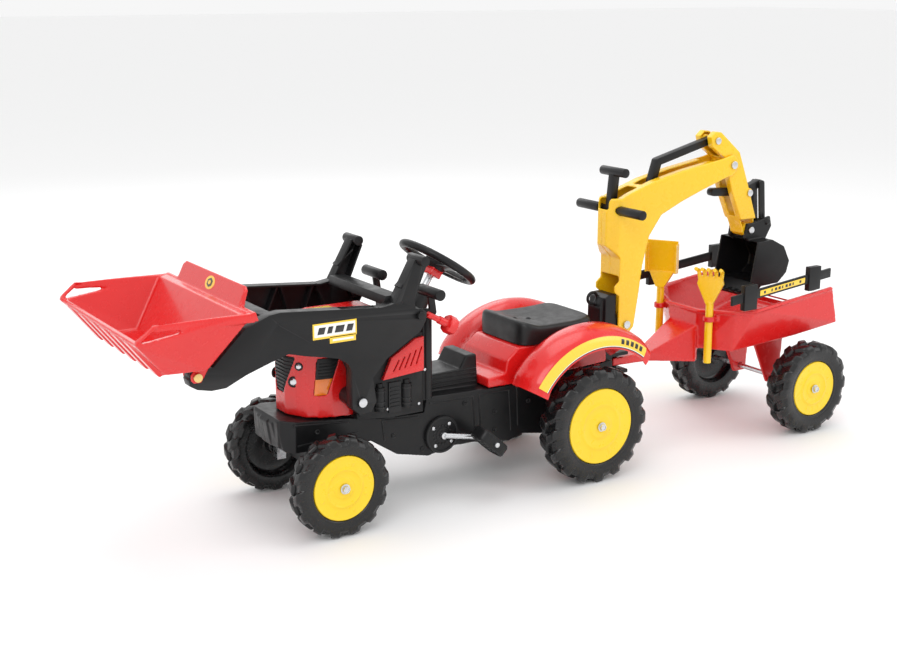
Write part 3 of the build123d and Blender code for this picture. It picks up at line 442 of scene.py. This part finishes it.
# ---------------------------------------------------------------- seat
def seat():
    """The moulded saddle: dished top, rolled edges and a rounded skirt, with two screw recesses."""
    low, high = (Vector(corner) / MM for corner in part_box("seat"))
    centre_x, half_x, half_y = (low.x + high.x) / 2, (high.x - low.x) / 2, (high.y - low.y) / 2

    def top(x, y):
        along = (x - low.x) / (high.x - low.x)
        rise = 333 + 11 * (1 - soft_step(along, 0.0, 0.3)) + 4 * soft_step(along, 0.7, 1.0)
        dish = 7 * (1 - (y / half_y) ** 2) * math.sin(math.pi * min(1, max(0, along)))
        return rise - dish - 3 * (y / half_y) ** 4

    steps = 112
    rings = [(1.0, 0.0, 0), (1.0, 0.25, 0), (1.0, 0.62, 0), (0.995, 0.8, 0), (0.975, 0.92, 0),
             (0.94, 0.985, 0),
             (0.9, 1.0, 1)] + [(0.9 - 0.09 * i, 1.0, 1) for i in range(1, 10)] + [(0.03, 1.0, 1)]
    verts = []
    for scale, lift, _ in rings:
        for step in range(steps):
            angle = 2 * math.pi * step / steps
            c, s = math.cos(angle), math.sin(angle)
            power = 0.3
            x = centre_x + half_x * scale * math.copysign(abs(c) ** power, c)
            y = half_y * scale * math.copysign(abs(s) ** power, s)
            z = low.z + (top(x, y) - low.z) * lift
            verts.append(Vector((x, y, z)) * MM)
    faces = []
    for ring in range(len(rings) - 1):
        for step in range(steps):
            ahead = (step + 1) % steps
            a, b = ring * steps, (ring + 1) * steps
            faces.append((a + step, a + ahead, b + ahead, b + step))
    faces.append([(len(rings) - 1) * steps + i for i in range(steps)])
    faces.append([i for i in range(steps)][::-1])
    piece = smooth(made("seat_saddle", verts, faces), 60)
    dress(piece, "tractor", "black_shell", "seat_black", ["seat"])
    for x in (48, 84):
        cup = lathe("cup", [(0.6, 6), (1.4, 5.2), (1.2, 4.2), (-1.5, 3.6), (-1.5, 0.2)], ORIGIN, 1, 24)
        cup.data.transform(Matrix.Rotation(math.radians(90), 4, "X"))
        cup.data.transform(Matrix.Translation(Vector((x, 0, top(x, 0) - 0.2)) * MM))
        dress(smooth(cup), "tractor", "black_shell", "seat_black")
        cup.name = f"seat_screw_recess_{x}"


seat()


# ---------------------------------------------------------------- wings and rear body
REAR = pivot("rear_spin") / MM
WING = [(80, 160), (86, 164), (92, 174), (98, 187), (105, 198), (115, 207), (130, 212.5), (148, 212),
        (165, 208.5),
        (178, 203), (188, 196), (194, 187), (196.6, 177), (197, 168)]


def wing_shell(name, side, start=46, end=150, steps=60, wall=2.6):
    """One wing: a thin curved sheet round the rear wheel, ending in a rolled lip."""
    verts = []
    for step in range(steps + 1):
        share = step / steps
        angle = math.radians(start + (end - start) * share)
        tuck = 4.0 * soft_step(abs(share - 0.5) * 2, 0.86, 1.0)
        for inside in (0, wall):
            for number, (lateral, radius) in enumerate(WING):
                before = WING[max(0, number - 1)]
                after = WING[min(len(WING) - 1, number + 1)]
                dy, dr = after[0] - before[0], after[1] - before[1]
                size = math.hypot(dy, dr)
                y, r = lateral + inside * dr / size, radius - inside * dy / size - tuck * (lateral > 92)
                verts.append(Vector((REAR.x + r * math.cos(angle), side * y,
                                     REAR.z + r * math.sin(angle))) * MM)
    count = len(WING)
    faces = []
    for step in range(steps):
        a, b = step * 2 * count, (step + 1) * 2 * count
        loop = list(range(count)) + list(range(2 * count - 1, count - 1, -1))
        for i in range(2 * count):
            j = (i + 1) % (2 * count)
            faces.append((a + loop[i], a + loop[j], b + loop[j], b + loop[i]))
    for step in (0, steps):
        a = step * 2 * count
        for i in range(count - 1):
            faces.append((a + i, a + i + 1, a + count + i + 1, a + count + i))
    return smooth(made(name, verts, faces), 40)


def wing_band(name, side, start, end, first, last, lift, steps=48):
    """A thin label that follows the wing's outside between two shares of its section."""
    def at(share):
        place = share * (len(WING) - 1)
        i = min(len(WING) - 2, int(place))
        f = place - i
        (y0, r0), (y1, r1) = WING[i], WING[i + 1]
        size = math.hypot(y1 - y0, r1 - r0)
        return y0 + (y1 - y0) * f - lift * (r1 - r0) / size, r0 + (r1 - r0) * f + lift * (y1 - y0) / size
    verts = []
    rows = 8
    for step in range(steps + 1):
        angle = math.radians(start + (end - start) * step / steps)
        for row in range(rows + 1):
            y, r = at(first + (last - first) * row / rows)
            verts.append(Vector((REAR.x + r * math.cos(angle), side * y, REAR.z + r * math.sin(angle))) * MM)
    faces = []
    for step in range(steps):
        for row in range(rows):
            a = step * (rows + 1) + row
            faces.append((a, a + 1, a + rows + 2, a + rows + 1))
    return smooth(made(name, verts, faces), 60)


def rear_body():
    base = [(-74, 214), (-74, 234), (-31, 240), (-27, 266), (2, 291), (228, 292), (236, 284), (237, 226),
            (40, 216),
            (-20, 213)]
    pieces = [prism("rear_body_base", base, -82, 82, 5, 4)]
    for side, word in ((-1, "left"), (1, "right")):
        wing = wing_shell(f"wing_{word}", side)
        dress(wing, "tractor", "red_shell")
        dress(wing_band(f"wing_label_{word}", side, 52, 146, 0.79, 0.945, 0.5), "tractor", "yellow_shell",
              "label_yellow")
        dress(wing_band(f"wing_label_line_{word}", side, 52, 146, 0.945, 0.957, 0.55), "tractor",
              "black_shell",
              "label_white")
        dress(wing_band(f"wing_label_edge_{word}", side, 52, 146, 0.957, 0.972, 0.55), "tractor",
              "black_shell",
              "label_black")
        for number in range(5):
            start = 56 + number * 4.2
            dress(wing_band(f"wing_bar_{number}_{word}", side, start, start + 2.6, 0.825, 0.905, 0.9, 6),
                  "tractor",
                  "black_shell", "label_black")
    for piece in pieces:
        dress(piece, "tractor", "red_shell", None, ["fender_unit"])


rear_body()


# ---------------------------------------------------------------- bonnet
NOSE_PLAN = [(0, -509), (20, -509), (45, -497), (62, -482), (73, -462), (78, -435), (78, -300)]


def nose_x(y):
    """How far forward the bonnet reaches at a lateral distance."""
    y = abs(y)
    for (y0, x0), (y1, x1) in zip(NOSE_PLAN, NOSE_PLAN[1:]):
        if y <= y1:
            return x0 + (x1 - x0) * (y - y0) / max(1e-6, y1 - y0)
    return NOSE_PLAN[-1][1]


def flank_y(x):
    """How wide the bonnet is at a station."""
    for (y0, x0), (y1, x1) in zip(NOSE_PLAN, NOSE_PLAN[1:]):
        if x <= x1:
            return y0 + (y1 - y0) * (x - x0) / max(1e-6, x1 - x0)
    return NOSE_PLAN[-1][0]


def bonnet():
    moulded("hood", 1.5, 16, 0.4)
    bars = []
    for number in range(10):
        z = 264 + 7.2 * number
        half = 13 + (z - 258) / 75 * 31 - 2.5
        steps = [(-half + 2 * half * i / 12) for i in range(13)]
        bars.append(tube("bar", [(nose_x(y) + 1.6, y, z) for y in steps], 1.5))
    for side in (-1, 1):
        for number in range(5):
            z = 295 + 6.5 * number
            low = -463 - (331 - z) / 73 * 6 + 3
            high = -417 - (331 - z) / 73 * 28 - 3
            steps = [low + (high - low) * i / 8 for i in range(9)]
            bars.append(tube("bar", [(x, side * (flank_y(x) - 1.2), z) for x in steps], 1.5))
    dress(joined("grille_bars", bars), "tractor", "black_shell")
    label = prism("bonnet_label", [(-456, 405.5), (-456, 409.5), (-388, 409.5), (-388, 405.5)], -22, 22, 0.8)
    dress(label, "tractor", "yellow_shell", "label_yellow")


bonnet()


# ---------------------------------------------------------------- labels
def slanted(x0, z0, x1, z1, slant=0.0):
    """A label outline, its upright edges leaning by slant."""
    return [(x0, z0), (x1, z0), (x1 + slant, z1), (x0 + slant, z1)]


def labels():
    for side, word in ((-1, "left"), (1, "right")):
        def layer(name, outline, low, high, material):
            piece = prism(f"{name}_{word}", outline, *ordered(side, low, high), 0.15, 2)
            return dress(piece, NODE_BODY["loader_arm_left"], "yellow_shell", material)

        layer("arm_label", slanted(-505, 389, -413, 419), 139.9, 140.7, "label_yellow")
        layer("arm_label_foot", slanted(-470, 378, -415, 391), 139.9, 140.7, "label_yellow")
        layer("arm_label_field", slanted(-502, 393, -416, 416), 140.4, 140.9, "label_white")
        marks = [(-496, 14), (-476, 10), (-460, 18), (-436, 13)]
        for number, (x, length) in enumerate(marks):
            layer(f"arm_label_mark_{number}", slanted(x, 398, x + length, 411, 4), 140.7, 141.2,
                  "label_black")
        layer("arm_label_rule", slanted(-464, 382, -420, 386), 140.5, 141, "label_white")
        rise = 32 / 308

        def on_rail(name, x0, x1, low, high, near, far, material):
            outline = [(x0, 331 + rise * (x0 - 522) + low), (x1, 331 + rise * (x1 - 522) + low),
                       (x1, 331 + rise * (x1 - 522) + high), (x0, 331 + rise * (x0 - 522) + high)]
            piece = prism(f"{name}_{word}", outline, *ordered(side, near, far), 0.15, 2)
            dress(piece, "trailer", "yellow_shell", material)

        on_rail("rail_strip", 606, 746, 4.5, 17, 165.8, 166.5, "label_yellow")
        for number in range(7):
            x = 640 + 11 * number
            on_rail(f"rail_mark_{number}", x, x + (7 if number % 3 else 4), 7.5, 14, 166.3, 166.8,
                    "label_black")
        for number, x in enumerate((617, 728)):
            on_rail(f"rail_dot_{number}", x, x + 6, 7.8, 13.8, 166.3, 166.8, "label_black")
    lean = math.atan2(34, 16)
    up = Vector((math.cos(lean), 0, math.sin(lean)))
    out = Vector((-up.z, 0, up.x))
    middle = Vector((-652, 0, 474)) + up * 17
    for number, (sides, wide, high, thick) in enumerate(((28, 20, 13, 0.5), (6, 12, 9, 1.1),
                                                         (6, 6, 4.5, 1.6))):
        verts = []
        for lift in (-1.2, thick):
            for step in range(sides):
                angle = 2 * math.pi * (step + 0.5) / sides
                across = Vector((0, wide * math.cos(angle), 0))
                verts.append((middle + across + up * (high * math.sin(angle)) + out * lift) * MM)
        faces = [list(range(sides)), list(range(sides, 2 * sides))[::-1]]
        faces += [(i, (i + 1) % sides, sides + (i + 1) % sides, sides + i) for i in range(sides)]
        badge = made(f"bucket_emblem_{number}", verts, faces)
        material = "label_black" if number == 1 else "label_yellow"
        dress(badge, NODE_BODY["loader_bucket"], "yellow_shell", material)


labels()


# ---------------------------------------------------------------- small fittings
def screw(name, place, normal, radius=4.0, height=2.2, slot="zinc_steel", body="tractor"):
    """A round-headed screw with a dished centre."""
    section = [(0, radius), (height * 0.5, radius * 0.96), (height * 0.85, radius * 0.72),
               (height, radius * 0.38),
               (height * 0.72, radius * 0.3), (height * 0.62, radius * 0.02)]
    head = lathe(name, section, ORIGIN, 1, 28)
    head.data.transform(facing(normal))
    head.data.transform(Matrix.Translation(Vector(place) * MM))
    return dress(smooth(head, 50), body, slot)


def fittings():
    crank = pivot("crank_turn") / MM
    for side, word in ((-1, "left"), (1, "right")):
        for number in range(4):
            angle = math.radians(52 + 90 * number)
            place = (crank.x + 27 * math.cos(angle), side * 84, crank.z + 27 * math.sin(angle))
            screw(f"cover_screw_{number}_{word}", place, (0, side, 0), 4.2, 2.6)
        rim = [(83.6, 38.6), (85.6, 38), (86, 36), (85.6, 34), (83.6, 33.4)]
        ring = lathe("ring", rim, crank * MM, side, 80, True)
        studs = [ring]
        for number in range(16):
            angle = 2 * math.pi * number / 16
            dot = lathe("dot", [(84, 2.2), (85.2, 2.0), (85.5, 1.0), (85.5, 0.1)], ORIGIN, side, 12)
            dot.data.transform(Matrix.Translation(Vector((crank.x + 20 * math.cos(angle), 0,
                                                          crank.z + 20 * math.sin(angle))) * MM))
            studs.append(dot)
        dress(joined(f"crank_cover_rim_{word}", studs), "tractor", "black_shell")
        for number, (x, z) in enumerate(((-241, 285), (-322, 214), (-250, 214))):
            place = (x, side * (103.2 if number == 0 else 95), z)
            screw(f"cowl_screw_{number}_{word}", place, (0, side, 0), 3.2, 1.8)
        for number, (x, z) in enumerate(((-575, 428), (-314, 437))):
            screw(f"arm_screw_{number}_{word}", (x, side * 138.4, z), (0, side, 0), 3.6, 1.8, "black_shell",
                  NODE_BODY["loader_arm_left"])
        for number, (x, y, z, radius) in enumerate(((-491.8, 51, 316, 8.2), (-498.8, 41, 284, 11))):
            normal = Vector((-0.66, side * 0.75, 0)) if number == 0 else Vector((-0.5, side * 0.87, 0))
            inner = radius * 0.68
            bezel = [(-1.5, radius), (1.2, radius), (2.4, radius * 0.9), (2.4, radius * 0.74), (1.0, inner),
                     (-1.5, inner)]
            dome = [(-1, inner), (1.6, inner), (2.8, inner * 0.86), (3.4, inner * 0.5), (3.5, 0.05)]
            kinds = (("bezel", bezel, True, "black_shell"), ("dome", dome, False, "zinc_steel"))
            for kind, section, closed, slot in kinds:
                ring = lathe(f"stud_{kind}_{number}_{word}", section, ORIGIN, 1, 40, closed)
                ring.data.transform(facing(normal))
                ring.data.transform(Matrix.Translation(Vector((x, side * y, z)) * MM))
                dress(smooth(ring, 50), "tractor", slot)
        panel = []
        for number in range(6):
            z = 216 + 8 * number
            bar = [(-318, z), (-318, z + 3), (-296, z + 3), (-296, z)]
            panel.append(prism("bar", bar, *ordered(side, 98, 101), 0.8, 2))
        for x in (-341, -280):
            for z in (222, 232, 254):
                rib = lathe("rib", [(-1.4, 10), (-1.4, 12), (1.4, 12), (1.4, 10)], ORIGIN, 1, 40, True)
                rib.data.transform(Matrix.Rotation(math.radians(90), 4, "X"))
                rib.data.transform(Matrix.Translation(Vector((x, side * 95, z)) * MM))
                panel.append(rib)
        dress(joined(f"cowl_ribs_{word}", panel), "tractor", "black_shell")


fittings()


def pivot_bolts():
    """The bolts at the loader's pivots; the studs on the nose are the domes above."""
    mesh = frame["nodes"]["body_bolts"].data.copy()
    work = bmesh.new()
    work.from_mesh(mesh)
    bmesh.ops.delete(work, geom=[v for v in work.verts if v.co.x < -0.45], context="VERTS")
    bmesh.ops.remove_doubles(work, verts=work.verts, dist=2e-6)
    bmesh.ops.dissolve_limit(work, angle_limit=math.radians(1.0), verts=work.verts, edges=work.edges)
    work.to_mesh(mesh)
    work.free()
    piece = bpy.data.objects.new("pivot_bolts", mesh)
    bpy.context.scene.collection.objects.link(piece)
    dress(bevelled(piece, 0.8, 2, 32), "tractor", "zinc_steel", None, ["body_bolts"])


pivot_bolts()


CHASSIS_FACE, TUNNEL_FACE = 77.6, 44.6


def chassis_relief():
    """Raised panel frames and ribs on the chassis sides."""
    for side, word in ((-1, "left"), (1, "right")):
        ribs = []
        lines = [((-520, 208), (-400, 197), 2.2), ((-512, 166), (-380, 172), 1.8),
                 ((-215, 204), (-110, 202), 2.0),
                 ((-110, 202), (-104, 118), 1.8), ((-95, 203), (-20, 201), 2.0),
                 ((-20, 201), (-14, 112), 1.8),
                 ((-95, 203), (-90, 116), 1.8), ((0, 205), (60, 206), 2.0), ((0, 205), (4, 120), 1.8),
                 ((-326, 186), (-240, 180), 1.8), ((-326, 186), (-320, 142), 1.8)]
        for (x0, z0), (x1, z1), radius in lines:
            middle = ((x0 + x1) / 2, side * CHASSIS_FACE, (z0 + z1) / 2)
            ends = (x0, side * CHASSIS_FACE, z0), (x1, side * CHASSIS_FACE, z1)
            ribs.append(tube("rib", [ends[0], middle, ends[1]], radius))
        bosses = [(-470, 188), (-300, 150), (-232, 110), (-130, 190), (-130, 118), (-55, 160), (-55, 120),
                  (30, 170)]
        for x, z in bosses:
            boss = lathe("boss", [(CHASSIS_FACE, 5.5), (79.4, 5.2), (80, 4.2), (79.2, 3), (78.6, 0.1)],
                         ORIGIN, side, 24)
            boss.data.transform(Matrix.Translation(Vector((x, 0, z)) * MM))
            ribs.append(boss)
        for number in range(4):
            z = 224 + 9 * number
            ribs.append(tube("rib", [(x, side * TUNNEL_FACE, z) for x in (-205, -140, -82)], 1.8))
        dress(joined(f"chassis_ribs_{word}", ribs), "tractor", "black_shell")


chassis_relief()


# ---------------------------------------------------------------- steering wheel
def steering():
    axis = Vector(JOINTS["steering_turn"]["axis"]).normalized()
    centre = pivot("steering_turn")
    across = Vector((0, 1, 0))
    ahead = axis.cross(across)
    frame_of = Matrix((across, ahead, axis)).transposed().to_4x4()
    frame_of.translation = centre
    parts = []
    turns = [2 * math.pi * i / 28 for i in range(28)]
    ring = [(8.3 * math.sin(turn), 79.5 + 8.3 * math.cos(turn)) for turn in turns]
    rim = lathe("rim", ring, ORIGIN, 1, 144, True)
    rim.data.transform(Matrix.Rotation(math.radians(90), 4, "X"))
    for vertex in rim.data.vertices:
        angle = math.atan2(vertex.co.y, vertex.co.x)
        if math.hypot(vertex.co.x, vertex.co.y) < 0.0795:
            grip = 0.0012 * (0.5 + 0.5 * math.cos(angle * 36))
            vertex.co.x += grip * math.cos(angle)
            vertex.co.y += grip * math.sin(angle)
    parts.append(rim)
    for angle in (0, 180, 270):
        verts = []
        for step in range(9):
            share = step / 8
            reach = 20 + 56 * share
            half = 15 - 6 * math.sin(math.pi * share) ** 0.8
            drop = -7 + 6 * share
            for y, z in ((-half, -3), (-half + 2.5, 1.5), (half - 2.5, 1.5), (half, -3)):
                verts.append(Vector((reach, y, z + drop)) * MM)
        faces = []
        for step in range(8):
            a = step * 4
            for i in range(4):
                j = (i + 1) % 4
                faces.append((a + i, a + j, a + 4 + j, a + 4 + i))
        spoke = bevelled(made("spoke", verts, faces), 1.2, 2, 25)
        spoke.data.transform(Matrix.Rotation(math.radians(angle), 4, "Z"))
        parts.append(spoke)
    hub_section = [(-16, 5), (-16, 19), (-8, 25), (-1, 26.5), (3, 25.5), (4.5, 22), (4.5, 17.5), (3.2, 16.4),
                   (0.5, 16.2)]
    hub = lathe("hub", hub_section, ORIGIN, 1, 64)
    hub.data.transform(Matrix.Rotation(math.radians(90), 4, "X"))
    parts.append(hub)
    wheel_piece = joined("steering_wheel_rim", parts)
    wheel_piece.data.transform(frame_of)
    dress(wheel_piece, "steering", "black_shell", None, ["steering_wheel"])
    button = lathe("horn_cap", [(1.0, 15.8), (5.5, 15.8), (7.2, 14.8), (8.2, 12.5), (8.9, 8), (9.2, 3),
                                (9.3, 0.2)],
                   ORIGIN, 1, 48)
    button.data.transform(Matrix.Rotation(math.radians(90), 4, "X"))
    button.data.transform(frame_of)
    dress(smooth(button, 50), "horn", "red_shell", None, ["horn_button"])
    corners = [(-17, -13), (-13, -16), (13, -16), (17, -13), (17, 11), (13, 14), (-13, 14), (-17, 11)]
    verts = [Vector((x, y, z)) * MM for z in (-31, -13) for x, y in corners]
    faces = [list(range(8)), list(range(8, 16))] + [(i, (i + 1) % 8, 8 + (i + 1) % 8,
                                                     8 + i) for i in range(8)]
    case = bevelled(made("horn_case", verts, faces), 2.0, 3)
    case.data.transform(frame_of)
    dress(case, "steering", "red_shell")


steering()


# ---------------------------------------------------------------- pedals
def pedals():
    """Rounded block pedals with a raised diamond tread on both faces."""
    for side, word in ((-1, "left"), (1, "right")):
        centre = pivot(f"pedal_spin_{word}") / MM
        turn = Matrix.Rotation(math.radians(42), 4, "Y")
        frame_of = Matrix.Translation(Vector((centre.x, side * 135, centre.z)) * MM) @ turn
        half, thick, ring = 38, 10.5, []
        for step in range(48):
            angle = 2 * math.pi * step / 48
            c, s = math.cos(angle), math.sin(angle)
            ring.append((half * math.copysign(abs(c) ** 0.62, c), 26.4 * math.copysign(abs(s) ** 0.42, s)))
        verts = [Vector((x, y, z)) * MM for z in (-thick, thick) for x, y in ring]
        count = len(ring)
        faces = [list(range(count)), list(range(count, 2 * count))]
        faces += [(i, (i + 1) % count, count + (i + 1) % count, count + i) for i in range(count)]
        parts = [bevelled(made("block", verts, faces), 2.2, 3)]
        for z in (-thick, thick):
            lift = 1.2 if z > 0 else -1.2
            rim = [(x * 0.93, y * 0.93, z + lift * 0.4) for x, y in ring[::3]]
            parts.append(tube("rim", rim, 2.0, True))
            for number in range(-2, 3):
                for slope in (-1, 1):
                    x = number * 10.5
                    parts.append(tube("tread", [(x - 7, slope * -17, z), (x, 0, z + lift * 0.4),
                                                (x + 7, slope * 17, z)], 1.5))
        for y in (-26.3, 26.3):
            for number in range(-2, 3):
                parts.append(tube("edge", [(number * 9, y * 0.96, -8), (number * 9 + 3, y * 0.965, 0),
                                           (number * 9, y * 0.96, 8)], 1.0))
        pad = joined(f"pedal_block_{word}", parts)
        pad.data.transform(frame_of)
        dress(pad, f"pedal_{word}", "black_shell", None, [f"pedal_{word}"])


pedals()


# ---------------------------------------------------------------- pieces carried over with rounded edges
EDGES = {
    "grille_strips": 0.6, "lamp_lenses": 1.0, "cowl_panels": 1.2, "firewall": 1.2,
    "vent_panels": 0.7, "steering_boot": 1.0, "crank_covers": 1.0, "drive_chain": 0, "front_axle_beam": 1.5,
    "hitch_post": 1.5, "steering_column": 0.4, "tie_rod": 0.6, "stub_axle_left": 0.5,
    "stub_axle_right": 0.5, "rear_axle": 0.5, "crankshaft": 0.4,
    "loader_arm_left": 1.1, "loader_arm_right": 1.1, "loader_beams": 1.0, "lock_knobs": 1.2,
    "bucket_pins": 0.6, "bucket_levers": 1.2, "boom_bolts": 0.8, "grip_bar": 1.0, "t_lever": 1.2,
    "stick_bolts": 0.8, "stick_link": 1.0, "scoop_lever": 1.2, "scoop_link": 0.6, "side_rails": 1.0,
    "trailer_axle": 0.6,
}
for node_name, width in EDGES.items():
    refined(node_name, width)
MOULDINGS = {
    "chassis_body": (1.9, 4), "loader_bucket": (2.2, 5), "swivel_bracket": (1.4, 5),
    "boom_shell_left": (1.8, 6),
    "boom_shell_right": (1.8, 6), "stick": (1.6, 6), "digger_bucket": (1.7, 5), "trailer_tub": (2.2, 6),
    "rake": (0.8, 6), "spade": (0.8, 6),
}
for node_name, (grid, passes) in MOULDINGS.items():
    moulded(node_name, grid, passes, 0.35)


# ---------------------------------------------------------------- floor, light and camera
def studio():
    corners = [(-40, -40), (40, -40), (40, 40), (-40, 40)]
    floor = made("floor", [Vector((x, y, 0)) for x, y in corners], [(0, 1, 2, 3)])
    pale = bpy.data.materials.new("floor")
    pale.use_nodes = True
    shader = pale.node_tree.nodes["Principled BSDF"]
    shader.inputs["Base Color"].default_value = (0.95, 0.95, 0.95, 1)
    shader.inputs["Roughness"].default_value = 0.7
    floor.data.materials.append(pale)
    world = bpy.data.worlds.new("studio")
    bpy.context.scene.world = world
    world.use_nodes = True
    world.node_tree.nodes["Background"].inputs["Color"].default_value = (1, 1, 1, 1)
    world.node_tree.nodes["Background"].inputs["Strength"].default_value = 0.93
    lights = (("key", (-2.6, -2.6, 3.4), 2.4, 52), ("fill", (2.8, -2.2, 2.4), 2.2, 20),
              ("top", (0.2, 0.6, 3.8), 2.4, 30), ("back", (1.0, 3.4, 2.6), 2.4, 20))
    for name, place, size, power in lights:
        lamp = bpy.data.lights.new(name, "AREA")
        lamp.size = size
        lamp.energy = power
        holder = bpy.data.objects.new(name, lamp)
        holder.location = place
        aim = Vector((0.0, 0.0, 0.25)) - Vector(place)
        holder.rotation_euler = aim.to_track_quat("-Z", "Y").to_euler()
        bpy.context.scene.collection.objects.link(holder)


def camera():
    target = Vector((-0.120, 0.0, 0.3148))
    azimuth, elevation, distance = math.radians(-32.31), math.radians(14.34), 2.8988
    away = Vector((math.sin(azimuth) * math.cos(elevation), -math.cos(azimuth) * math.cos(elevation),
                   math.sin(elevation)))
    lens = bpy.data.cameras.new("camera")
    lens.lens = 55.76
    lens.sensor_width = 36
    holder = bpy.data.objects.new("camera", lens)
    holder.location = target + away * distance
    holder.rotation_euler = (-away).to_track_quat("-Z", "Y").to_euler()
    bpy.context.scene.collection.objects.link(holder)
    bpy.context.scene.camera = holder


studio()
camera()
bpy.context.scene.view_settings.view_transform = "Standard"
